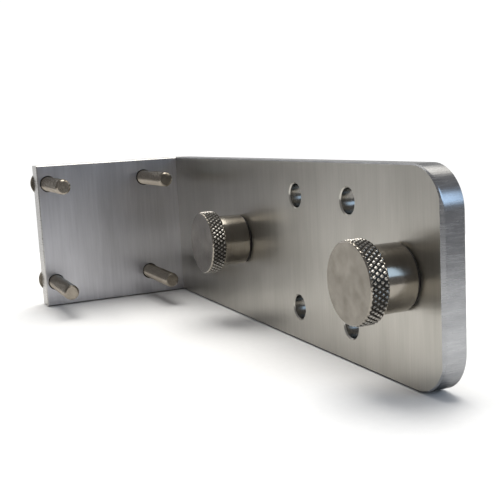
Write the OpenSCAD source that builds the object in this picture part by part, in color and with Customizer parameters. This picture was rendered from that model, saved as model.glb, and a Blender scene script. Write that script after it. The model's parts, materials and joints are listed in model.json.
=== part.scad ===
// Right-angle holder bracket: a long plate and a short flange plate screwed
// together at the corner, two knurled thumb screws through the long plate and
// four button-head screws that stand out of the flange as locating studs.
// Units are millimetres. +Z is up and the part stands on its lower edges.
// Everything is drawn from the inside corner of the L, then moved so that the
// origin is the centre of the four-hole pattern on the back face.

/* [Main plate] */
// Length of the main plate, from the inside corner to the free end
plate_length = 160; // [135:1:220]
// Height of both plates
plate_height = 50; // [46:1:80]
// Thickness of the main plate
plate_thickness = 6; // [5.8:0.1:9]
// Radius of the two rounded corners at the free end
end_radius = 10; // [4:0.5:20]
// Width of the bevel on the front edge of the free end
end_bevel = 0.8; // [0.3:0.1:1.5]
// Edge break along the long edges of both plates
edge_break = 0.35; // [0.1:0.05:0.6]

/* [Flange plate] */
// Reach of the flange in front of the main plate
flange_reach = 51.5; // [51:0.5:80]
// Thickness of the flange
flange_thickness = 8; // [5:0.5:10]

/* [Four-hole pattern] */
// Diameter of the four through holes
hole_diameter = 6.6; // [4.5:0.1:9]
// Spacing of the holes along the plate
hole_spacing_x = 27.3; // [24:0.1:36]
// Spacing of the holes across the plate
hole_spacing_z = 31; // [24:0.5:34]
// Countersink on the rim of each hole
hole_rim = 0.3; // [0.1:0.05:0.6]
// Distance from the pattern's centre to the outer thumb screw
hole_pattern_offset = 35.85; // [33:0.05:45]

/* [Thumb screws] */
// Distance from the free end to the outer thumb screw
knob_end_margin = 15; // [13:0.5:25]
// Distance between the two thumb screws
knob_spacing = 86.75; // [75:0.25:95]
// Diameter of the knurled head
head_diameter = 19; // [17:0.5:24]
// Width of the knurled head
head_width = 4.7; // [3.5:0.1:8]
// Bevel on both rims of the head
head_bevel = 0.45; // [0.2:0.05:0.8]
// Diameter of the smooth shoulder
shoulder_diameter = 15.5; // [12:0.5:17]
// Length of the smooth shoulder
shoulder_length = 8.5; // [6:0.5:14]
// Diameter of the threaded stud
stud_diameter = 6; // [4:0.5:8]
// Length of the stud behind the plate
stud_projection = 10; // [6:0.5:20]
// Length of the stud inside the knob
stud_grip = 9.5; // [6:0.5:10]
// Diameter of the thrust washer
washer_diameter = 14.6; // [11:0.1:16]
// Thickness of the thrust washer
washer_thickness = 0.5; // [0.3:0.1:1.5]

/* [Flange screws] */
// Thread diameter of the flange screws
screw_diameter = 5; // [4:0.5:6]
// Pitch of the flange screws' thread
screw_pitch = 0.8; // [0.5:0.05:1]
// Length of a flange screw under its head
screw_length = 33; // [20:1:45]
// Diameter of the button head
screw_head_diameter = 9.5; // [7.5:0.1:11]
// Height of the button head
screw_head_height = 2.75; // [2:0.05:3.5]
// Width of the hex socket across its flats
screw_socket = 3; // [2:0.1:4]
// Spacing of the screws, both ways
screw_spacing = 35; // [30:0.5:36]
// Distance from the main plate's front face to the pattern's centre
screw_pattern_y = 30.3; // [28:0.1:31.5]
// Height of the pattern's centre above the middle of the flange
screw_pattern_rise = 1; // [0:0.1:2]

/* [Corner joint] */
// Thread diameter of the countersunk corner screws
corner_screw_diameter = 3; // [2.5:0.5:3]
// Length of a corner screw, head included
corner_screw_length = 16; // [12:1:20]
// Diameter of the countersunk head
corner_head_diameter = 5.5; // [4.7:0.1:5.5]
// Distance between neighbouring corner screws
corner_screw_pitch = 15; // [12:0.5:17]
// Diameter of the dowel pins
dowel_diameter = 3; // [2:0.5:4]
// Length of the dowel pins
dowel_length = 14; // [10:1:20]
// Depth of each dowel pin below the flange's outer face
dowel_inset = 1; // [0.5:0.1:2]

/* [Fits] */
// Radial clearance of the stud in the plate and in the washer
running_clearance = 0.05; // [0.02:0.01:0.1]
// Gap between faces that slide on each other
face_gap = 0.02; // [0.01:0.01:0.05]
// Extra diameter of the corner screws' clearance holes
clearance_allowance = 0.4; // [0.2:0.1:0.6]
// Extra depth of blind holes past the end of what they hold
blind_allowance = 1.5; // [0.5:0.5:3]

/* [Hidden] */
$fn = 64;
overcut = 1;

// Places along the main plate, from the inside corner
knob_outer_x = plate_length - knob_end_margin;
knob_inner_x = knob_outer_x - knob_spacing;
pattern_x = knob_outer_x - hole_pattern_offset;
mid_z = plate_height / 2;

// Places of the corner screws and dowels, up from the middle of the plates
corner_screw_rises = [corner_screw_pitch, 0, -corner_screw_pitch];
dowel_rise = corner_screw_pitch / 2;
corner_y = plate_thickness / 2;

// Thumb screw, measured forward from the plate's front face
shoulder_foot = washer_thickness;
shoulder_top = shoulder_foot + shoulder_length;
knob_front = shoulder_top + head_width;
stud_top = shoulder_foot + stud_grip;
stud_point = 0.8;
foot_bevel = 0.4;

// An engaged thread is drawn as a plain cylinder of its pitch diameter
pitch_diameter_drop = 0.65;
screw_engaged = screw_diameter - pitch_diameter_drop * screw_pitch;
screw_point = 0.6;
screw_socket_depth = 1.6;
corner_socket = corner_screw_diameter * 2 / 3;
corner_socket_depth = 1.1;
corner_cone = (corner_head_diameter - corner_screw_diameter) / 2;
dowel_point = 0.3;

steel = [0.66, 0.65, 0.62];
flange_steel = [0.55, 0.56, 0.58];
screw_steel = [0.62, 0.59, 0.53];
knob_steel = [0.70, 0.68, 0.63];
washer_black = [0.08, 0.08, 0.08];

// Moves what is drawn from the inside corner to the part's own frame
module from_corner() {
  translate([-pattern_x, -plate_thickness, -mid_z]) children();
}

// Turns a body of revolution so that its +Z axis points forward, along -Y
module facing_front(x) {
  translate([x, 0, mid_z]) rotate([90, 0, 0]) children();
}

// Turns a body of revolution so that its +Z axis points along +X
module facing_end(y, z) {
  translate([0, y, z]) rotate([0, 90, 0]) children();
}

// A rectangle from [x0, y0] to [x1, y1] with its corners cut at 45 degrees by c
module bevelled_rectangle(x0, y0, x1, y1, c) {
  polygon([
    [x0 + c, y0], [x1 - c, y0], [x1, y0 + c], [x1, y1 - c],
    [x1 - c, y1], [x0 + c, y1], [x0, y1 - c], [x0, y0 + c]
  ]);
}

// Draws a [y, z] section and runs it from x0 to x1
module run_along_x(x0, x1) {
  translate([x0, 0, 0]) rotate([90, 0, 90]) linear_extrude(height = x1 - x0) children();
}

// The long plate's outline, with its two rounded corners at the free end
module plate_outline() {
  union() {
    square([plate_length - end_radius, plate_height]);
    translate([0, end_radius]) square([plate_length, plate_height - 2 * end_radius]);
    for (z = [end_radius, plate_height - end_radius])
      translate([plate_length - end_radius, z]) circle(r = end_radius, $fn = 96);
  }
}

module plate_bores() {
  for (x = [-1, 1], z = [-1, 1])
    facing_front(pattern_x + x * hole_spacing_x / 2) translate([0, z * hole_spacing_z / 2, 0])
      through_hole();
  for (x = [knob_inner_x, knob_outer_x])
    facing_front(x) translate([0, 0, -plate_thickness - overcut])
      cylinder(d = stud_diameter + 2 * running_clearance, h = plate_thickness + 2 * overcut);
}

// A through hole with a small countersink on its front and back rims
module through_hole() {
  translate([0, 0, -plate_thickness - overcut])
    cylinder(d = hole_diameter, h = plate_thickness + 2 * overcut);
  translate([0, 0, -hole_rim])
    cylinder(d1 = hole_diameter, d2 = hole_diameter + 2 * hole_rim + 2 * overcut, h = hole_rim + overcut);
  translate([0, 0, -plate_thickness - overcut])
    cylinder(d1 = hole_diameter + 2 * hole_rim + 2 * overcut, d2 = hole_diameter, h = hole_rim + overcut);
}

// Blind holes in the main plate's end for the corner screws and dowels
module plate_end_holes() {
  screw_reach = corner_screw_length - flange_thickness;
  dowel_reach = dowel_length + dowel_inset - flange_thickness;
  for (rise = corner_screw_rises)
    facing_end(corner_y, mid_z + rise) translate([0, 0, -overcut])
      cylinder(d = corner_screw_diameter, h = screw_reach + blind_allowance + overcut);
  for (side = [-1, 1])
    facing_end(corner_y, mid_z + side * dowel_rise) translate([0, 0, -overcut])
      cylinder(d = dowel_diameter, h = dowel_reach + blind_allowance + overcut);
}

// The plate seen from above, with the bevel on the front edge of its free end
module plate_plan() {
  polygon([
    [0, 0], [plate_length - end_bevel, 0], [plate_length, end_bevel],
    [plate_length, plate_thickness], [0, plate_thickness]
  ]);
}

module main_plate() {
  color(steel) from_corner() difference() {
    intersection() {
      translate([0, plate_thickness, 0]) rotate([90, 0, 0])
        linear_extrude(height = plate_thickness) plate_outline();
      linear_extrude(height = plate_height) plate_plan();
      run_along_x(0, plate_length)
        bevelled_rectangle(0, 0, plate_thickness, plate_height, edge_break);
    }
    plate_bores();
    plate_end_holes();
  }
}

// Tapped holes through the flange for the four screws that stand out of it
module flange_screw_holes() {
  for (y = [-1, 1], z = [-1, 1])
    facing_end(screw_y(y), screw_z(z)) translate([0, 0, -flange_thickness - overcut])
      cylinder(d = screw_engaged, h = flange_thickness + 2 * overcut);
}

function screw_y(side) = -screw_pattern_y + side * screw_spacing / 2;
function screw_z(side) = mid_z + screw_pattern_rise + side * screw_spacing / 2;

// Countersunk clearance holes and dowel holes where the flange meets the plate
module flange_corner_holes() {
  for (rise = corner_screw_rises)
    facing_end(corner_y, mid_z + rise) translate([0, 0, -flange_thickness]) {
      translate([0, 0, -overcut])
        cylinder(d = corner_screw_diameter + clearance_allowance, h = flange_thickness + 2 * overcut);
      countersink();
    }
  for (side = [-1, 1])
    facing_end(corner_y, mid_z + side * dowel_rise) translate([0, 0, -flange_thickness - overcut])
      cylinder(d = dowel_diameter, h = flange_thickness + 2 * overcut);
}

// A 90 degree seat that follows the countersunk head with the face gap
module countersink() {
  mouth = corner_head_diameter + 2 * face_gap;
  translate([0, 0, -overcut]) cylinder(d = mouth, h = overcut + face_gap);
  translate([0, 0, face_gap]) cylinder(d1 = mouth, d2 = 0, h = mouth / 2);
}

module flange_plate() {
  color(flange_steel) from_corner() difference() {
    intersection() {
      run_along_x(-flange_thickness, 0)
        bevelled_rectangle(-flange_reach, 0, plate_thickness, plate_height, edge_break);
      linear_extrude(height = plate_height)
        bevelled_rectangle(-flange_thickness, -flange_reach, 0, plate_thickness, edge_break);
    }
    flange_screw_holes();
    flange_corner_holes();
  }
}

// Button head, dome on the outer face, with a hex socket
module button_head() {
  rim = screw_head_height / 5;
  radius = screw_head_diameter / 2;
  rise = screw_head_height - rim;
  dome = (radius * radius + rise * rise) / (2 * rise);
  difference() {
    union() {
      cylinder(d = screw_head_diameter, h = rim);
      intersection() {
        cylinder(d = screw_head_diameter, h = screw_head_height);
        translate([0, 0, screw_head_height - dome]) sphere(r = dome, $fn = 96);
      }
    }
    translate([0, 0, screw_head_height - screw_socket_depth])
      cylinder(d = screw_socket / cos(30), h = screw_socket_depth + overcut, $fn = 6);
  }
}

// side_y is -1 at the flange's free edge, side_z is 1 at the top
module flange_screw(side_y, side_z) {
  color(screw_steel) from_corner() facing_end(screw_y(side_y), screw_z(side_z)) {
    translate([0, 0, -flange_thickness]) {
      mirror([0, 0, 1]) button_head();
      cylinder(d = screw_engaged, h = flange_thickness);
      translate([0, 0, flange_thickness])
        cylinder(d = screw_diameter, h = screw_length - flange_thickness - screw_point);
      translate([0, 0, screw_length - screw_point])
        cylinder(d1 = screw_diameter, d2 = screw_diameter - 2 * screw_point, h = screw_point);
    }
  }
}

module corner_screw(rise) {
  color(screw_steel) from_corner() facing_end(corner_y, mid_z + rise)
    translate([0, 0, -flange_thickness]) difference() {
      union() {
        cylinder(d1 = corner_head_diameter, d2 = corner_screw_diameter, h = corner_cone);
        cylinder(d = corner_screw_diameter, h = corner_screw_length);
      }
      translate([0, 0, -overcut])
        cylinder(d = corner_socket / cos(30), h = overcut + corner_socket_depth, $fn = 6);
    }
}

module corner_dowel(side) {
  body_length = dowel_length - 2 * dowel_point;
  color(screw_steel) from_corner() facing_end(corner_y, mid_z + side * dowel_rise)
    translate([0, 0, dowel_inset - flange_thickness]) {
      cylinder(d1 = dowel_diameter - 2 * dowel_point, d2 = dowel_diameter, h = dowel_point);
      translate([0, 0, dowel_point]) cylinder(d = dowel_diameter, h = body_length);
      translate([0, 0, dowel_point + body_length])
        cylinder(d1 = dowel_diameter, d2 = dowel_diameter - 2 * dowel_point, h = dowel_point);
    }
}

// Turned knob: smooth shoulder on the plate side, knurled head in front
module knob(x) {
  head = head_diameter / 2;
  shoulder = shoulder_diameter / 2;
  color(knob_steel) from_corner() facing_front(x) difference() {
    rotate_extrude($fn = 96) polygon([
      [0, shoulder_foot],
      [shoulder - foot_bevel, shoulder_foot],
      [shoulder, shoulder_foot + foot_bevel],
      [shoulder, shoulder_top],
      [head - head_bevel, shoulder_top],
      [head, shoulder_top + head_bevel],
      [head, knob_front - head_bevel],
      [head - head_bevel, knob_front],
      [0, knob_front]
    ]);
    translate([0, 0, shoulder_foot - overcut]) cylinder(d = stud_diameter, h = stud_grip + overcut);
  }
}

module stud(x) {
  back = -plate_thickness - stud_projection;
  color(screw_steel) from_corner() facing_front(x) {
    translate([0, 0, back])
      cylinder(d1 = stud_diameter - 2 * stud_point, d2 = stud_diameter, h = stud_point);
    translate([0, 0, back + stud_point])
      cylinder(d = stud_diameter, h = stud_top - back - stud_point);
  }
}

module washer(x) {
  color(washer_black) from_corner() facing_front(x) translate([0, 0, face_gap]) difference() {
    cylinder(d = washer_diameter, h = washer_thickness - 2 * face_gap);
    translate([0, 0, -overcut])
      cylinder(d = stud_diameter + 2 * running_clearance, h = washer_thickness + 2 * overcut);
  }
}

main_plate();
flange_plate();
flange_screw(-1, 1);  // flange_screw_upper_outer
flange_screw(-1, -1);  // flange_screw_lower_outer
flange_screw(1, 1);  // flange_screw_upper_inner
flange_screw(1, -1);  // flange_screw_lower_inner
corner_screw(corner_screw_rises[0]);  // corner_screw_top
corner_screw(corner_screw_rises[1]);  // corner_screw_middle
corner_screw(corner_screw_rises[2]);  // corner_screw_bottom
corner_dowel(1);  // corner_dowel_top
corner_dowel(-1);  // corner_dowel_bottom
knob(knob_outer_x);  // knob_outer
knob(knob_inner_x);  // knob_inner
stud(knob_outer_x);  // stud_outer
stud(knob_inner_x);  // stud_inner
washer(knob_outer_x);  // washer_outer
washer(knob_inner_x);  // washer_inner
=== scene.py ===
import json
import math

import bmesh
import bpy
from mathutils import Matrix, Vector


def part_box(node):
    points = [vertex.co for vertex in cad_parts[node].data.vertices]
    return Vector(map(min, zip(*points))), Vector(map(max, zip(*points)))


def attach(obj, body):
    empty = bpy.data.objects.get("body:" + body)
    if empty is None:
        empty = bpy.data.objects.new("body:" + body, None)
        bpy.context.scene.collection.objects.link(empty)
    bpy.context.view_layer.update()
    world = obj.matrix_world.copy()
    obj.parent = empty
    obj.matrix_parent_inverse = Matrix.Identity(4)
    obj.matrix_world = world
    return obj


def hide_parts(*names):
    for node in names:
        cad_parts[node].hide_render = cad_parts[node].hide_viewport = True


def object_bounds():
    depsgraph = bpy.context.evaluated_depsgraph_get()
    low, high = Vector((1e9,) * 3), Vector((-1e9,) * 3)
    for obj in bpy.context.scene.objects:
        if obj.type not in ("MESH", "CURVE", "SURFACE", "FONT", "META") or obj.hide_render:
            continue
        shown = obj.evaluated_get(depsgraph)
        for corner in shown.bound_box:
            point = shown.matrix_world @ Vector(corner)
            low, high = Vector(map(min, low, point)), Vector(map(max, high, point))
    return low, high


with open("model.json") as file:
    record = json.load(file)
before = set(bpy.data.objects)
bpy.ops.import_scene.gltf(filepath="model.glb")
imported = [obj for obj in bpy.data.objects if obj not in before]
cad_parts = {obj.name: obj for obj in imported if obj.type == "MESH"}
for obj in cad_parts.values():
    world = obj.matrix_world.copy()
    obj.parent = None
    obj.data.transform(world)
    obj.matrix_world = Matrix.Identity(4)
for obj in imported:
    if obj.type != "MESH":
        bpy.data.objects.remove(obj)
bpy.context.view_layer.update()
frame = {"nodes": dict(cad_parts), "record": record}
record = frame["record"]
mounts = {m["name"]: m for m in record["mounts"]}

MM = 0.001

# ---------------------------------------------------------------- sizes, in millimetres

PLATE_EDGE_BREAK = 0.3
PLATE_END_RADIUS = 10.0
PLATE_END_BEVEL = 0.8
HOLE_RIM = 0.35
STUD_BORE_RADIUS = 3.05
TAPPED_RIM = 0.35
BORE_MARGIN = 0.1

HEAD_RADIUS = 9.5
HEAD_WIDTH = 4.7
HEAD_BEVEL = 0.5
FACE_DEPTH = 0.12
FACE_DISH = 0.06
FACE_GAP = 0.001
SHOULDER_RADIUS = 7.75
FOOT_BEVEL = 0.4
NECK_HEIGHT = 0.15
NECK_FLARE = 0.05
KNOB_BORE_DEPTH = 0.5
KNOB_BORE_FLARE = 0.4
KNURL_DEPTH = 0.42
KNURL_FIRST_ROW = 1.12
KNURL_ROW_STEP = 0.92
KNURL_BACK_STEPS = (0.0, 0.15, 0.3, 0.45)
KNURL_FRONT_STEPS = (0.0, 0.13, 0.26, 0.38, 0.5)
KNURL_BACK_MARGIN = 0.5
KNURL_FRONT_MARGIN = 0.55

STUD_RADIUS = 3.0
STUD_PITCH = 1.0
STUD_POINT = 0.8
STUD_CLEARANCE = 0.01
WASHER_CLEARANCE = 0.12

SCREW_RADIUS = 2.5
SCREW_PITCH = 0.8
SCREW_POINT = 0.6
SCREW_NECK = 1.0
SCREW_UNDERCUT = 0.1
SCREW_TAP_CLEARANCE = 0.02
SCREW_HEAD_RADIUS = 4.75
SCREW_HEAD_HEIGHT = 2.75
HEAD_EDGE_BREAK = 0.08
SCREW_SOCKET = 3.0
SCREW_SOCKET_DEPTH = 1.6
SOCKET_CHAMFER = 0.12
SOCKET_CONE = 0.35
SOCKET_TIP = 0.2
SOCKET_TAPER = 0.05

CORNER_SCREW_RADIUS = 1.5
CORNER_HEAD_RADIUS = 2.75
CORNER_EDGE = 0.1
CORNER_POINT = 0.4
CORNER_CLEARANCE = 0.1
CORNER_SEAT_CLEARANCE = 0.03
CORNER_SOCKET = 2.0
CORNER_SOCKET_DEPTH = 1.1
CORNER_SOCKET_CHAMFER = 0.08
CORNER_SOCKET_CONE = 0.2
CORNER_SOCKET_TIP = 0.15
DOWEL_RADIUS = 1.5
DOWEL_POINT = 0.3
DOWEL_CLEARANCE = 0.02
DOWEL_RIM = 0.15
COVERED_MOUTH = 0.01

# ---------------------------------------------------------------- counts, shares and angles

ROUND_STEPS = 48
ARC_STEPS = 24
DOME_STEPS = 8
KNURL_COUNT = 45
KNURL_FINENESS = 4
KNURL_LOWER_ROWS = 4
KNURL_FLAT_SHARE = 0.28
CREST_SHARE = 0.5
FACE_RINGS = (0.93, 0.8, 0.6, 0.4, 0.2, 0.05)
THREAD_DEPTH_SHARE = 0.6134
SHARP_ANGLE = math.radians(30)
FLAT_COSINE = 0.9
RIM_COSINE = 0.5

# ---------------------------------------------------------------- looks

NOISE_LOW, NOISE_HIGH = 0.3, 0.7
COLOUR_LOW, COLOUR_HIGH = 0.36, 0.64
FINE_SHARE = 0.45

# ---------------------------------------------------------------- studio, in metres and degrees

BACKDROP_DIRECTION = (-0.913, 0.408, 0.0)
ROOM_DIM = (0.25, 0.25, 0.258)
BACKDROP_WHITE = 1.06
FADE_START, FADE_END = 0.22, 0.74
FLOOR_RADIUS = 0.225
FLOOR_GAP = 0.0002
CAMERA_PLACE = (0.18924, -0.11088, 0.03400)
CAMERA_HEADING = 155.9114
CAMERA_TILT = -8.1974
CAMERA_ROLL = 2.9488
CAMERA_LENS_MM = 60.38
CAMERA_SENSOR_MM = 36.0


# ---------------------------------------------------------------- places, from the CAD

def millimetres(node):
    """Lowest and highest corner of a CAD node, in millimetres."""
    low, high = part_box(node)
    return low / MM, high / MM


plate_low, plate_high = millimetres("main_plate")
flange_low, flange_high = millimetres("flange_plate")

# local X to +Y, local Y up, local Z to +X
TURN_TO_X = Matrix(((0, 0, 1), (1, 0, 0), (0, 1, 0))).to_4x4()


# ---------------------------------------------------------------- mesh building

def finish_mesh(name, bm, body, nodes, materials):
    """Makes the object, shades it smooth with sharp edges kept, and puts it on its body."""
    bmesh.ops.remove_doubles(bm, verts=bm.verts, dist=1e-7)
    bmesh.ops.dissolve_degenerate(bm, edges=bm.edges, dist=1e-7)
    bmesh.ops.recalc_face_normals(bm, faces=bm.faces)
    mesh = bpy.data.meshes.new(name)
    bm.to_mesh(mesh)
    bm.free()
    for material in materials:
        mesh.materials.append(material)
    mesh.shade_smooth()
    mesh.set_sharp_from_angle(angle=SHARP_ANGLE)
    piece = bpy.data.objects.new(name, mesh)
    bpy.context.scene.collection.objects.link(piece)
    weighted = piece.modifiers.new("even_flats", "WEIGHTED_NORMAL")
    weighted.keep_sharp = True
    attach(piece, body)
    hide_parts(*nodes)
    return piece


def turned(radius, height, steps=ROUND_STEPS):
    """A ring of points round local +Z."""
    return [
        Vector((radius * math.cos(a), radius * math.sin(a), height))
        for a in (math.tau * i / steps for i in range(steps))
    ]


def hexagon(across_flats, height, steps=ROUND_STEPS):
    """A ring whose points lie on a hexagon."""
    ring = []
    for i in range(steps):
        a = math.tau * i / steps
        from_flat = (a % (math.pi / 3)) - math.pi / 6
        radius = across_flats / 2 / math.cos(from_flat)
        ring.append(Vector((radius * math.cos(a), radius * math.sin(a), height)))
    return ring


def skin(bm, rings, place, closed=False):
    """Joins neighbouring rings with quads, then caps both ends or, if closed, joins last to first."""
    loops = [[bm.verts.new(place @ (p * MM)) for p in ring] for ring in rings]
    pairs = list(zip(loops, loops[1:]))
    if closed:
        pairs.append((loops[-1], loops[0]))
    for a, b in pairs:
        for i in range(len(a)):
            j = (i + 1) % len(a)
            bm.faces.new((a[i], a[j], b[j], b[i]))
    if not closed:
        bm.faces.new(list(reversed(loops[0])))
        bm.faces.new(loops[-1])


def thread(crest, pitch, start, end, point, steps=ROUND_STEPS):
    """Rings of a right-hand ISO thread from height start to end, coned over its last point millimetres."""
    root = crest - THREAD_DEPTH_SHARE * pitch
    # shares of the pitch: crest 1/8, flank 5/16, root 1/4, flank 5/16
    profile = ((0.0, crest), (0.125, crest), (0.4375, root), (0.6875, root))
    rings = [turned(root, start, steps)]
    turns = math.ceil((end - start) / pitch) + 1
    for turn in range(-1, turns):
        for share, radius in profile:
            ring = []
            for i in range(steps):
                height = start + pitch * (turn + share + i / steps)
                inside = start < height < end
                reach = radius if inside else root
                reach = min(reach, crest - point + (end - height)) if inside else reach
                reach = crest - point if height >= end else reach
                a = math.tau * i / steps
                height = min(max(height, start), end)
                ring.append(Vector((reach * math.cos(a), reach * math.sin(a), height)))
            rings.append(ring)
    rings.append(turned(crest - point, end, steps))
    return rings


# ---------------------------------------------------------------- materials

def node_kit(name):
    """A new material with its nodes, and a short way to add more."""
    material = bpy.data.materials.new(name)
    material.use_nodes = True
    tree = material.node_tree
    shader = tree.nodes["Principled BSDF"]

    def add(kind, **values):
        node = tree.nodes.new(kind)
        for key, value in values.items():
            setattr(node, key, value)
        return node

    return material, tree, shader, add


def stretched_noise(tree, add, grain, detail, roughness=0.55):
    """Noise in the object's own coordinates; grain is its feature size along X, Y and Z, in millimetres."""
    place = add("ShaderNodeTexCoord")
    mapping = add("ShaderNodeMapping")
    mapping.inputs["Scale"].default_value = [1 / (g * MM) for g in grain]
    noise = add("ShaderNodeTexNoise")
    noise.inputs["Scale"].default_value = 1.0
    noise.inputs["Detail"].default_value = detail
    noise.inputs["Roughness"].default_value = roughness
    tree.links.new(place.outputs["Object"], mapping.inputs["Vector"])
    tree.links.new(mapping.outputs["Vector"], noise.inputs["Vector"])
    return noise


def ramp(tree, add, source, stops):
    """A colour ramp from (position, colour) stops."""
    node = add("ShaderNodeValToRGB")
    elements = node.color_ramp.elements
    while len(elements) < len(stops):
        elements.new(0.5)
    for element, (position, colour) in zip(elements, stops):
        element.position = position
        element.color = (*colour, 1.0)
    tree.links.new(source, node.inputs["Fac"])
    return node


def spread(tree, add, source, low, high):
    """Maps a noise's middle range onto low..high."""
    node = add("ShaderNodeMapRange")
    node.inputs["From Min"].default_value = NOISE_LOW
    node.inputs["From Max"].default_value = NOISE_HIGH
    node.inputs["To Min"].default_value = low
    node.inputs["To Max"].default_value = high
    tree.links.new(source, node.inputs["Value"])
    return node


def metal(
    name, dark, light, rough, grain, blotch=(9, 9, 9), bump=0.15, depth=0.01,
    anisotropy=0.0, turn=0.0, tangent=None, graze=1.0,
):
    """Bare steel: fine stretched grain in roughness, relief and colour, and soft blotches in colour.

    A graze below 1 darkens what it reflects at a glancing angle.
    """
    material, tree, shader, add = node_kit(name)
    fine = stretched_noise(tree, add, grain, detail=5.0, roughness=0.65)
    soft = stretched_noise(tree, add, blotch, detail=3.0)
    blend = add("ShaderNodeMix", data_type="FLOAT")
    blend.inputs["Factor"].default_value = FINE_SHARE
    tree.links.new(soft.outputs["Fac"], blend.inputs["A"])
    tree.links.new(fine.outputs["Fac"], blend.inputs["B"])
    stops = ((COLOUR_LOW, dark), (COLOUR_HIGH, light))
    colour = ramp(tree, add, blend.outputs["Result"], stops)
    tree.links.new(colour.outputs["Color"], shader.inputs["Base Color"])
    roughness = spread(tree, add, fine.outputs["Fac"], rough[0], rough[1])
    tree.links.new(roughness.outputs["Result"], shader.inputs["Roughness"])
    relief = add("ShaderNodeBump")
    relief.inputs["Strength"].default_value = bump
    relief.inputs["Distance"].default_value = depth * MM
    tree.links.new(fine.outputs["Fac"], relief.inputs["Height"])
    tree.links.new(relief.outputs["Normal"], shader.inputs["Normal"])
    shader.inputs["Metallic"].default_value = 1.0
    shader.inputs["Specular Tint"].default_value = (graze, graze, graze, 1.0)
    shader.inputs["Anisotropic"].default_value = anisotropy
    shader.inputs["Anisotropic Rotation"].default_value = turn
    if tangent:
        direction = add("ShaderNodeTangent", **tangent)
        tree.links.new(direction.outputs["Tangent"], shader.inputs["Tangent"])
    return material


ROUND_Y = {"direction_type": "RADIAL", "axis": "Y"}
ALONG_U = {"direction_type": "UV_MAP", "uv_map": "grain"}

plate_face = metal(
    "plate_brushed", (0.395, 0.380, 0.345), (0.495, 0.478, 0.438), (0.28, 0.36),
    (0.5, 4, 18), (10, 10, 34), bump=0.09, anisotropy=0.5, tangent=ALONG_U, graze=0.8,
)
plate_milled = metal(
    "plate_milled_edge", (0.31, 0.315, 0.325), (0.42, 0.425, 0.435), (0.20, 0.30),
    (6, 6, 0.3), (7, 7, 2.5), bump=0.3, depth=0.02, graze=0.25,
)
flange_milled = metal(
    "flange_milled_edge", (0.37, 0.36, 0.345), (0.47, 0.46, 0.44), (0.24, 0.34),
    (6, 6, 0.4), (8, 8, 5), bump=0.2, depth=0.02, graze=0.85,
)
# dark steel for the walls of holes, bores and countersinks: painted shade in the recesses
bore_painted_shade = metal(
    "bore_painted_shade", (0.15, 0.145, 0.135), (0.27, 0.26, 0.24), (0.18, 0.28),
    (3, 0.25, 3), (2, 2, 2), bump=0.15,
)
flange_face = metal(
    "flange_brushed", (0.450, 0.450, 0.475), (0.570, 0.570, 0.600), (0.28, 0.36),
    (4, 0.8, 16), (10, 10, 40), bump=0.08, anisotropy=0.5, tangent=ALONG_U, graze=0.8,
)
turned_steel = metal(
    "turned_steel", (0.27, 0.247, 0.212), (0.345, 0.318, 0.275), (0.15, 0.22),
    (6, 0.3, 6), (4, 4, 4), bump=0.10, anisotropy=0.5, turn=0.25, tangent=ROUND_Y,
)
faced_steel = metal(
    "faced_steel", (0.165, 0.150, 0.126), (0.260, 0.240, 0.208), (0.18, 0.26),
    (4, 0.5, 4), (3.5, 3.5, 3.5), bump=0.03, anisotropy=0.6, turn=0.25, tangent=ROUND_Y,
)
knurl_crest_steel = metal(
    "knurl_crest_steel", (0.29, 0.275, 0.250), (0.41, 0.392, 0.358), (0.22, 0.32),
    (0.8, 0.8, 0.8), (3, 3, 3), bump=0.08,
)
# near-black copy of the knurl steel for the groove faces: painted shade in the grooves
knurl_groove_painted_shade = metal(
    "knurl_groove_painted_shade", (0.035, 0.032, 0.028), (0.085, 0.079, 0.070), (0.35, 0.50),
    (0.8, 0.8, 0.8), (3, 3, 3), bump=0.08,
)
screw_steel = metal(
    "screw_steel", (0.24, 0.212, 0.175), (0.34, 0.305, 0.255), (0.18, 0.26),
    (1.2, 1.2, 1.2), (3, 3, 3), bump=0.06,
)


def near_black_material():
    """Dull near-black material of the thrust washers at the knobs' feet."""
    material, tree, shader, add = node_kit("washer_nylon")
    noise = stretched_noise(tree, add, (0.6, 0.6, 0.6), detail=4.0)
    stops = ((0.35, (0.012, 0.012, 0.012)), (0.65, (0.03, 0.028, 0.026)))
    colour = ramp(tree, add, noise.outputs["Fac"], stops)
    tree.links.new(colour.outputs["Color"], shader.inputs["Base Color"])
    roughness = spread(tree, add, noise.outputs["Fac"], 0.4, 0.6)
    tree.links.new(roughness.outputs["Result"], shader.inputs["Roughness"])
    return material


washer_nylon = near_black_material()


# ---------------------------------------------------------------- plates

def fill_plate(bm, outer, holes, place):
    """A plate from rings of its outline and of each hole, listed from its front to its back."""
    def lay(ring):
        return [bm.verts.new(place @ (p * MM)) for p in ring]

    stacks = [[lay(ring) for ring in rings] for rings in [outer, *holes]]
    for stack in stacks:
        for a, b in zip(stack, stack[1:]):
            for i in range(len(a)):
                j = (i + 1) % len(a)
                bm.faces.new((a[i], a[j], b[j], b[i]))
    for end in (0, -1):
        edges = []
        for stack in stacks:
            loop = stack[end]
            for i in range(len(loop)):
                pair = (loop[i], loop[(i + 1) % len(loop)])
                edges.append(bm.edges.get(pair))
        bmesh.ops.triangle_fill(bm, use_beauty=True, edges=edges)


def hole_rings(centre, profile, steps=ROUND_STEPS):
    """Rings of a round hole: profile is a list of (radius, depth from the front)."""
    return [
        [Vector((centre[0], centre[1], 0)) + p for p in turned(radius, -depth, steps)]
        for radius, depth in profile
    ]


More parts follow.
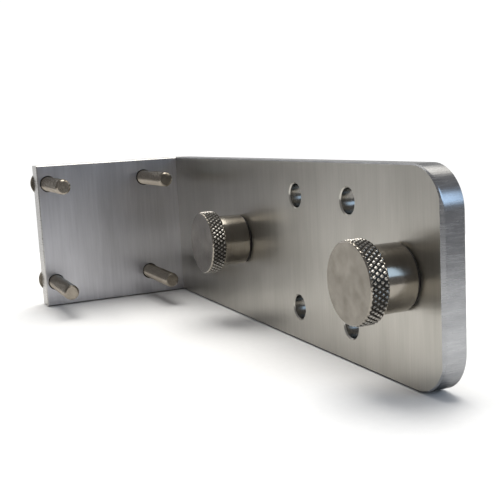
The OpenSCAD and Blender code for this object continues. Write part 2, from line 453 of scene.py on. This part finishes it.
def plate_outline(inset, clip, depth):
    """The long plate's outline, pulled in by inset and cut off at x = clip.

    Its local axes run along the plate, up and out of the front face.
    """
    low_x, high_x = plate_low.x, plate_high.x
    low_z, high_z = plate_low.z + inset, plate_high.z - inset
    centre_x = high_x - PLATE_END_RADIUS
    radius = PLATE_END_RADIUS - inset
    reach = min(clip, high_x - inset) - centre_x
    last = math.acos(min(1.0, reach / radius))
    sweep = math.pi / 2 - last
    points = [Vector((low_x, high_z, -depth)), Vector((low_x, low_z, -depth))]
    for first_angle, centre_z in (
        (-math.pi / 2, plate_low.z + PLATE_END_RADIUS),
        (last, plate_high.z - PLATE_END_RADIUS),
    ):
        for i in range(ARC_STEPS + 1):
            a = first_angle + sweep * i / ARC_STEPS
            x = centre_x + radius * math.cos(a)
            points.append(Vector((x, centre_z + radius * math.sin(a), -depth)))
    return points


def add_grain_uv(mesh, along, across):
    """A UV map whose U runs along the given axis, for the direction of the grain's gloss."""
    layer = mesh.uv_layers.new(name="grain")
    for loop in mesh.loops:
        co = mesh.vertices[loop.vertex_index].co
        layer.data[loop.index].uv = (co[along], co[across])


def build_main_plate():
    """The long plate: rounded and bevelled free end, four through holes and two stud bores."""
    thickness = plate_high.y - plate_low.y
    free_end = plate_high.x
    bevel, edge = PLATE_END_BEVEL, PLATE_EDGE_BREAK
    outer = [
        plate_outline(edge, free_end - bevel, 0),
        plate_outline(0, free_end - bevel + edge, edge),
        plate_outline(0, free_end, bevel),
        plate_outline(0, free_end, thickness - edge),
        plate_outline(edge, free_end, thickness),
    ]
    pattern = mounts["plate_holes"]
    dims = pattern["dims"]
    hole_radius = dims["hole_r_mm"]
    through = [
        (hole_radius + HOLE_RIM, 0), (hole_radius, HOLE_RIM),
        (hole_radius, thickness - HOLE_RIM), (hole_radius + HOLE_RIM, thickness),
    ]
    bore = [
        (STUD_BORE_RADIUS + TAPPED_RIM, 0), (STUD_BORE_RADIUS, TAPPED_RIM),
        (STUD_BORE_RADIUS, thickness - TAPPED_RIM), (STUD_BORE_RADIUS + TAPPED_RIM, thickness),
    ]
    centre = Vector(pattern["pos_m"]) / MM
    holes = []
    bore_places = []
    for side_x in (-0.5, 0.5):
        for side_z in (-0.5, 0.5):
            x = centre.x + side_x * dims["spacing_x_mm"]
            z = centre.z + side_z * dims["spacing_y_mm"]
            holes.append(hole_rings((x, z), through))
            bore_places.append((x, z, hole_radius + HOLE_RIM + BORE_MARGIN))
    for node in ("stud_outer", "stud_inner"):
        low, high = millimetres(node)
        x, z = (low.x + high.x) / 2, (low.z + high.z) / 2
        holes.append(hole_rings((x, z), bore))
        bore_places.append((x, z, STUD_BORE_RADIUS + TAPPED_RIM + BORE_MARGIN))
    # local X along the plate, local Y up, local Z out of the front face
    place = Matrix.Translation((0, plate_low.y * MM, 0)) @ Matrix.Rotation(math.pi / 2, 4, "X")
    bm = bmesh.new()
    fill_plate(bm, outer, holes, place)
    materials = [plate_face, plate_milled, bore_painted_shade]
    piece = finish_mesh("main_plate_body", bm, "bracket", ["main_plate"], materials)
    add_grain_uv(piece.data, 0, 2)
    face_slot, milled_slot, bore_shade_slot = range(3)
    for face in piece.data.polygons:
        in_bore = any(
            math.hypot(face.center.x / MM - x, face.center.z / MM - z) < radius
            for x, z, radius in bore_places
        )
        on_face = abs(face.normal.y) > (RIM_COSINE if in_bore else FLAT_COSINE)
        # walls of the holes and stud bores take the dark bore material: painted shade in the holes
        face.material_index = face_slot if on_face else bore_shade_slot if in_bore else milled_slot
    return piece


def build_flange():
    """The short plate, with tapped holes for its screws and the corner's countersinks and pin holes."""
    thickness = flange_high.x - flange_low.x
    edge = PLATE_EDGE_BREAK

    def outline(inset, depth):
        low = (flange_low.y + inset, flange_low.z + inset)
        high = (flange_high.y - inset, flange_high.z - inset)
        corners = ((low[0], low[1]), (high[0], low[1]), (high[0], high[1]), (low[0], high[1]))
        return [Vector((u, v, -depth)) for u, v in corners]

    outer = [outline(edge, 0), outline(0, edge), outline(0, thickness - edge), outline(edge, thickness)]
    tapped = SCREW_RADIUS + SCREW_TAP_CLEARANCE
    tap_profile = [(tapped + TAPPED_RIM, 0), (tapped, TAPPED_RIM), (tapped, thickness)]
    seat = CORNER_HEAD_RADIUS + CORNER_SEAT_CLEARANCE
    clearance = CORNER_SCREW_RADIUS + CORNER_CLEARANCE
    cone = seat - clearance
    countersunk = [(clearance, COVERED_MOUTH), (clearance, thickness - cone), (seat, thickness)]
    reamed = DOWEL_RADIUS + DOWEL_CLEARANCE
    dowel_profile = [
        (reamed, COVERED_MOUTH), (reamed, thickness - DOWEL_RIM), (reamed + DOWEL_RIM, thickness),
    ]
    holes = []
    bore_places = []
    for node in frame["nodes"]:
        low, high = millimetres(node)
        middle = ((low.y + high.y) / 2, (low.z + high.z) / 2)
        if node.startswith(("flange_screw", "corner_")):
            bore_places.append(middle)
        if node.startswith("flange_screw"):
            holes.append(hole_rings(middle, tap_profile))
        elif node.startswith("corner_screw"):
            holes.append(hole_rings(middle, countersunk))
        elif node.startswith("corner_dowel"):
            holes.append(hole_rings(middle, dowel_profile))
    # local X along +Y, local Y up, local Z out of the inner face
    place = Matrix.Translation((flange_high.x * MM, 0, 0)) @ TURN_TO_X
    bm = bmesh.new()
    fill_plate(bm, outer, holes, place)
    materials = [flange_face, flange_milled, bore_painted_shade]
    piece = finish_mesh("flange_plate_body", bm, "bracket", ["flange_plate"], materials)
    add_grain_uv(piece.data, 1, 2)
    face_slot, milled_slot, bore_shade_slot = range(3)
    bore_reach = CORNER_HEAD_RADIUS + 2 * BORE_MARGIN
    for face in piece.data.polygons:
        in_bore = any(
            math.hypot(face.center.y / MM - y, face.center.z / MM - z) < bore_reach
            for y, z in bore_places
        )
        on_face = abs(face.normal.x) > FLAT_COSINE
        # walls of the tapped holes, countersinks and pin holes take the dark bore material: painted shade
        # in the holes
        face.material_index = face_slot if on_face else bore_shade_slot if in_bore else milled_slot
    return piece


# ---------------------------------------------------------------- screws and pins

def facing_x(node):
    """Local +Z along +X, from the node's low X end, on its own axis."""
    low, high = millimetres(node)
    middle = Vector((low.x, (low.y + high.y) / 2, (low.z + high.z) / 2)) * MM
    return Matrix.Translation(middle) @ TURN_TO_X, high.x - low.x


def facing_front(node):
    """Local +Z along -Y, from the node's high Y end, on its own axis."""
    low, high = millimetres(node)
    middle = Vector(((low.x + high.x) / 2, high.y, (low.z + high.z) / 2)) * MM
    turn = Matrix(((1, 0, 0), (0, 0, -1), (0, 1, 0))).to_4x4()
    return Matrix.Translation(middle) @ turn, high.y - low.y


def build_flange_screw(node):
    """A button-head hex screw, its head outside the flange and its thread standing out inside."""
    place, length = facing_x(node)
    rim = SCREW_HEAD_HEIGHT / 5
    rise = SCREW_HEAD_HEIGHT - rim
    dome = (SCREW_HEAD_RADIUS ** 2 + rise ** 2) / (2 * rise)
    mouth = SCREW_SOCKET / 2 / math.cos(math.pi / 6) + SOCKET_CHAMFER
    mouth_height = dome - math.sqrt(dome ** 2 - mouth ** 2)
    rings = [
        turned(SOCKET_TIP, SCREW_SOCKET_DEPTH + SOCKET_CONE),
        hexagon(SCREW_SOCKET - SOCKET_TAPER, SCREW_SOCKET_DEPTH),
        hexagon(SCREW_SOCKET, mouth_height + SOCKET_CHAMFER),
        turned(mouth, mouth_height),
    ]
    for i in range(1, DOME_STEPS + 1):
        radius = mouth + (SCREW_HEAD_RADIUS - HEAD_EDGE_BREAK - mouth) * i / DOME_STEPS
        rings.append(turned(radius, dome - math.sqrt(dome ** 2 - radius ** 2)))
    rings += [
        turned(SCREW_HEAD_RADIUS, SCREW_HEAD_HEIGHT - rim),
        turned(SCREW_HEAD_RADIUS, SCREW_HEAD_HEIGHT - HEAD_EDGE_BREAK),
        turned(SCREW_HEAD_RADIUS - HEAD_EDGE_BREAK, SCREW_HEAD_HEIGHT),
        turned(SCREW_RADIUS - SCREW_UNDERCUT, SCREW_HEAD_HEIGHT),
    ]
    rings += thread(SCREW_RADIUS, SCREW_PITCH, SCREW_HEAD_HEIGHT + SCREW_NECK, length, SCREW_POINT)
    bm = bmesh.new()
    skin(bm, rings, place)
    return finish_mesh(node + "_threaded", bm, "bracket", [node], [screw_steel])


def build_corner_screw(node):
    """A countersunk hex screw that holds the flange to the main plate's end."""
    place, length = facing_x(node)
    cone = CORNER_HEAD_RADIUS - CORNER_SCREW_RADIUS
    rings = [
        turned(CORNER_SOCKET_TIP, CORNER_SOCKET_DEPTH + CORNER_SOCKET_CONE),
        hexagon(CORNER_SOCKET - SOCKET_TAPER, CORNER_SOCKET_DEPTH),
        hexagon(CORNER_SOCKET, CORNER_EDGE),
        turned(CORNER_SOCKET / 2 / math.cos(math.pi / 6) + CORNER_SOCKET_CHAMFER, 0),
        turned(CORNER_HEAD_RADIUS - CORNER_EDGE, 0),
        turned(CORNER_HEAD_RADIUS, CORNER_EDGE),
        turned(CORNER_SCREW_RADIUS, cone + CORNER_EDGE),
        turned(CORNER_SCREW_RADIUS, length - CORNER_POINT),
        turned(CORNER_SCREW_RADIUS - CORNER_POINT, length),
    ]
    bm = bmesh.new()
    skin(bm, rings, place)
    return finish_mesh(node + "_countersunk", bm, "bracket", [node], [screw_steel])


def build_dowel(node):
    """A ground pin with softened ends."""
    place, length = facing_x(node)
    rings = [
        turned(DOWEL_RADIUS - DOWEL_POINT, 0),
        turned(DOWEL_RADIUS - DOWEL_POINT / 3, DOWEL_POINT / 3),
        turned(DOWEL_RADIUS, DOWEL_POINT),
        turned(DOWEL_RADIUS, length - DOWEL_POINT),
        turned(DOWEL_RADIUS - DOWEL_POINT / 3, length - DOWEL_POINT / 3),
        turned(DOWEL_RADIUS - DOWEL_POINT, length),
    ]
    bm = bmesh.new()
    skin(bm, rings, place)
    return finish_mesh(node + "_ground", bm, "bracket", [node], [screw_steel])


# ---------------------------------------------------------------- thumb screws

def knurl_height(u, v):
    """Height of the diamond knurl, from 0 in a groove to 1 on a flat.

    u and v count half cells round and along the head.
    """
    first = abs((u + v) / 2 - round((u + v) / 2))
    second = abs((u - v) / 2 - round((u - v) / 2))
    share = min(first, second) / 0.5 / (1 - KNURL_FLAT_SHARE)
    return min(1.0, share)


def build_knob(node, body):
    """A turned knob: smooth shoulder, diamond-knurled head and slightly dished face."""
    place, length = facing_front(node)
    steps = 2 * KNURL_COUNT * KNURL_FINENESS
    front = length
    back = length - HEAD_WIDTH
    lower = [
        turned(STUD_RADIUS + STUD_CLEARANCE, KNOB_BORE_DEPTH, steps),
        turned(STUD_RADIUS + KNOB_BORE_FLARE, 0, steps),
        turned(SHOULDER_RADIUS - FOOT_BEVEL, 0, steps),
        turned(SHOULDER_RADIUS, FOOT_BEVEL, steps),
        turned(SHOULDER_RADIUS, back - NECK_HEIGHT, steps),
        turned(SHOULDER_RADIUS + NECK_FLARE, back, steps),
    ]
    row = front - KNURL_FIRST_ROW - KNURL_LOWER_ROWS * KNURL_ROW_STEP
    step = KNURL_ROW_STEP / KNURL_FINENESS
    grid = [row + k * step for k in range(math.ceil((front - row) / step))]
    bevel_heights = [back + step_in for step_in in KNURL_BACK_STEPS]
    bevel_heights += [front - step_in for step_in in KNURL_FRONT_STEPS]
    inner = [h for h in grid if back + KNURL_BACK_MARGIN < h < front - KNURL_FRONT_MARGIN]
    heights = sorted(bevel_heights + inner)
    head = []
    for h in heights:
        limit = HEAD_RADIUS - max(0.0, HEAD_BEVEL - (front - h), HEAD_BEVEL - (h - back))
        v = (front - KNURL_FIRST_ROW - h) / KNURL_ROW_STEP
        ring = []
        for i in range(steps):
            u = i / KNURL_FINENESS
            radius = min(limit, HEAD_RADIUS - KNURL_DEPTH * (1 - knurl_height(u + 1, v)))
            a = math.tau * i / steps
            ring.append(Vector((radius * math.cos(a), radius * math.sin(a), h)))
        head.append(ring)
    face = [turned(HEAD_RADIUS - HEAD_BEVEL - FACE_GAP, front, steps)]
    for share in FACE_RINGS:
        sunk = FACE_DISH * (1 - share) ** 0.5
        face.append(turned((HEAD_RADIUS - HEAD_BEVEL) * share, front - sunk, steps))
    bm = bmesh.new()
    skin(bm, lower + head + face, place)
    materials = [turned_steel, knurl_crest_steel, knurl_groove_painted_shade, faced_steel]
    piece = finish_mesh(node + "_knurled", bm, body, [node], materials)
    low, high = millimetres(node)
    axis = Vector(((low.x + high.x) / 2, 0, (low.z + high.z) / 2))
    turned_slot, crest_slot, groove_shade_slot, face_slot = range(4)
    for polygon in piece.data.polygons:
        centre = polygon.center / MM
        radius = math.hypot(centre.x - axis.x, centre.z - axis.z)
        from_front = centre.y - low.y
        in_band = HEAD_BEVEL < from_front < HEAD_WIDTH - HEAD_BEVEL
        knurled = in_band and radius > SHOULDER_RADIUS + HEAD_BEVEL
        if knurled:
            # faces low in the knurl take the near-black groove material, painted shade in the grooves; the
            # rest take the crest material
            is_crest = radius > HEAD_RADIUS - CREST_SHARE * KNURL_DEPTH
            polygon.material_index = crest_slot if is_crest else groove_shade_slot
        elif from_front < FACE_DEPTH and radius < HEAD_RADIUS - HEAD_BEVEL:
            polygon.material_index = face_slot
        else:
            polygon.material_index = turned_slot
    return piece


def build_stud(node, body):
    """A threaded stud, its pointed end behind the main plate."""
    place, length = facing_front(node)
    flip = place @ Matrix.Translation((0, 0, length * MM)) @ Matrix.Rotation(math.pi, 4, "X")
    rings = thread(STUD_RADIUS, STUD_PITCH, 0, length, STUD_POINT)
    bm = bmesh.new()
    skin(bm, rings, flip)
    return finish_mesh(node + "_threaded", bm, body, [node], [screw_steel])


def build_washer(node, body):
    """A flat thrust washer with softened edges."""
    place, length = facing_front(node)
    low, high = millimetres(node)
    outer = (high.x - low.x) / 2
    inner = STUD_RADIUS + WASHER_CLEARANCE
    soft = length / 4
    rings = [
        turned(inner, soft), turned(inner, length - soft), turned(inner + soft, length),
        turned(outer - soft, length), turned(outer, length - soft), turned(outer, soft),
        turned(outer - soft, 0), turned(inner + soft, 0),
    ]
    bm = bmesh.new()
    skin(bm, rings, place, closed=True)
    return finish_mesh(node + "_ring", bm, body, [node], [washer_nylon])


build_main_plate()
build_flange()
for node in sorted(frame["nodes"]):
    if node.startswith("flange_screw"):
        build_flange_screw(node)
    elif node.startswith("corner_screw"):
        build_corner_screw(node)
    elif node.startswith("corner_dowel"):
        build_dowel(node)
for side in ("outer", "inner"):
    build_knob("knob_" + side, "thumb_screw_" + side)
    build_stud("stud_" + side, "thumb_screw_" + side)
    build_washer("washer_" + side, "carrier_" + side)


# ---------------------------------------------------------------- studio

def build_floor():
    """A pale round floor under the object."""
    low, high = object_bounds()
    bm = bmesh.new()
    bmesh.ops.create_circle(bm, cap_ends=True, segments=96, radius=FLOOR_RADIUS)
    mesh = bpy.data.meshes.new("studio_floor")
    bm.to_mesh(mesh)
    bm.free()
    floor = bpy.data.objects.new("studio_floor", mesh)
    floor.location = ((low.x + high.x) / 2, (low.y + high.y) / 2, low.z - FLOOR_GAP)
    bpy.context.scene.collection.objects.link(floor)
    material, tree, shader, add = node_kit("floor_paper")
    noise = stretched_noise(tree, add, (2, 2, 2), detail=3.0)
    stops = ((0.3, (0.86, 0.86, 0.86)), (0.7, (0.88, 0.88, 0.88)))
    colour = ramp(tree, add, noise.outputs["Fac"], stops)
    tree.links.new(colour.outputs["Color"], shader.inputs["Base Color"])
    shader.inputs["Roughness"].default_value = 0.9
    mesh.materials.append(material)


def area_light(name, direction, distance, size, power, colour):
    """A soft rectangular light that faces the object from that direction."""
    data = bpy.data.lights.new(name, "AREA")
    data.shape = "RECTANGLE"
    data.size, data.size_y = size
    data.energy = power
    data.color = colour
    light = bpy.data.objects.new(name, data)
    away = Vector(direction).normalized()
    light.location = away * distance
    light.rotation_mode = "QUATERNION"
    light.rotation_quaternion = away.to_track_quat("Z", "Y")
    bpy.context.scene.collection.objects.link(light)


def overhead_light(direction, strength, width, colour):
    """A broad soft light above the whole floor, width degrees across."""
    data = bpy.data.lights.new("overhead", "SUN")
    data.energy = strength
    data.angle = math.radians(width)
    data.color = colour
    light = bpy.data.objects.new("overhead", data)
    light.rotation_mode = "QUATERNION"
    light.rotation_quaternion = Vector(direction).normalized().to_track_quat("Z", "Y")
    bpy.context.scene.collection.objects.link(light)


def build_world():
    """A white backdrop behind the object, fading to a dim room behind the camera."""
    world = bpy.data.worlds.new("studio_world")
    bpy.context.scene.world = world
    world.use_nodes = True
    tree = world.node_tree
    place = tree.nodes.new("ShaderNodeTexCoord")
    towards = tree.nodes.new("ShaderNodeVectorMath")
    towards.operation = "DOT_PRODUCT"
    towards.inputs[1].default_value = BACKDROP_DIRECTION
    fade = tree.nodes.new("ShaderNodeValToRGB")
    fade.color_ramp.interpolation = "EASE"
    elements = fade.color_ramp.elements
    elements[0].position, elements[0].color = FADE_START, (*ROOM_DIM, 1.0)
    white = (BACKDROP_WHITE, BACKDROP_WHITE, BACKDROP_WHITE, 1.0)
    elements[1].position, elements[1].color = FADE_END, white
    tree.links.new(place.outputs["Generated"], towards.inputs[0])
    tree.links.new(towards.outputs["Value"], fade.inputs["Fac"])
    background = tree.nodes["Background"]
    background.inputs["Strength"].default_value = 1.0
    tree.links.new(fade.outputs["Color"], background.inputs["Color"])


def build_camera():
    """The camera stands low, off the free end, and looks along the plate towards the corner."""
    data = bpy.data.cameras.new("camera")
    data.sensor_width = CAMERA_SENSOR_MM
    data.lens = CAMERA_LENS_MM
    place = Vector(CAMERA_PLACE)
    heading = math.radians(CAMERA_HEADING)
    tilt = math.radians(CAMERA_TILT)
    roll = math.radians(CAMERA_ROLL)
    level = math.cos(tilt)
    forward = Vector((level * math.cos(heading), level * math.sin(heading), math.sin(tilt)))
    right = forward.cross(Vector((0, 0, 1))).normalized()
    up = right.cross(forward)
    rolled_right = right * math.cos(roll) - up * math.sin(roll)
    rolled_up = right * math.sin(roll) + up * math.cos(roll)
    axes = Matrix((rolled_right, rolled_up, -forward)).transposed()
    camera = bpy.data.objects.new("camera", data)
    camera.matrix_world = Matrix.Translation(place) @ axes.to_4x4()
    data.clip_start = 0.01
    data.clip_end = 50.0
    bpy.context.scene.collection.objects.link(camera)
    bpy.context.scene.camera = camera


build_floor()
build_world()
overhead_light(direction=(-0.32, 0.10, 1.0), strength=3.2, width=50.0, colour=(1.0, 0.98, 0.94))
area_light(
    "window", direction=(0.8, 0.42, 0.42), distance=1.2,
    size=(0.55, 0.50), power=2.2, colour=(0.50, 0.72, 1.0),
)
area_light(
    "ceiling", direction=(-0.34, 0.60, 0.72), distance=1.2,
    size=(0.6, 0.35), power=1.1, colour=(1.0, 0.93, 0.80),
)
build_camera()
bpy.context.scene.view_settings.view_transform = "Standard"
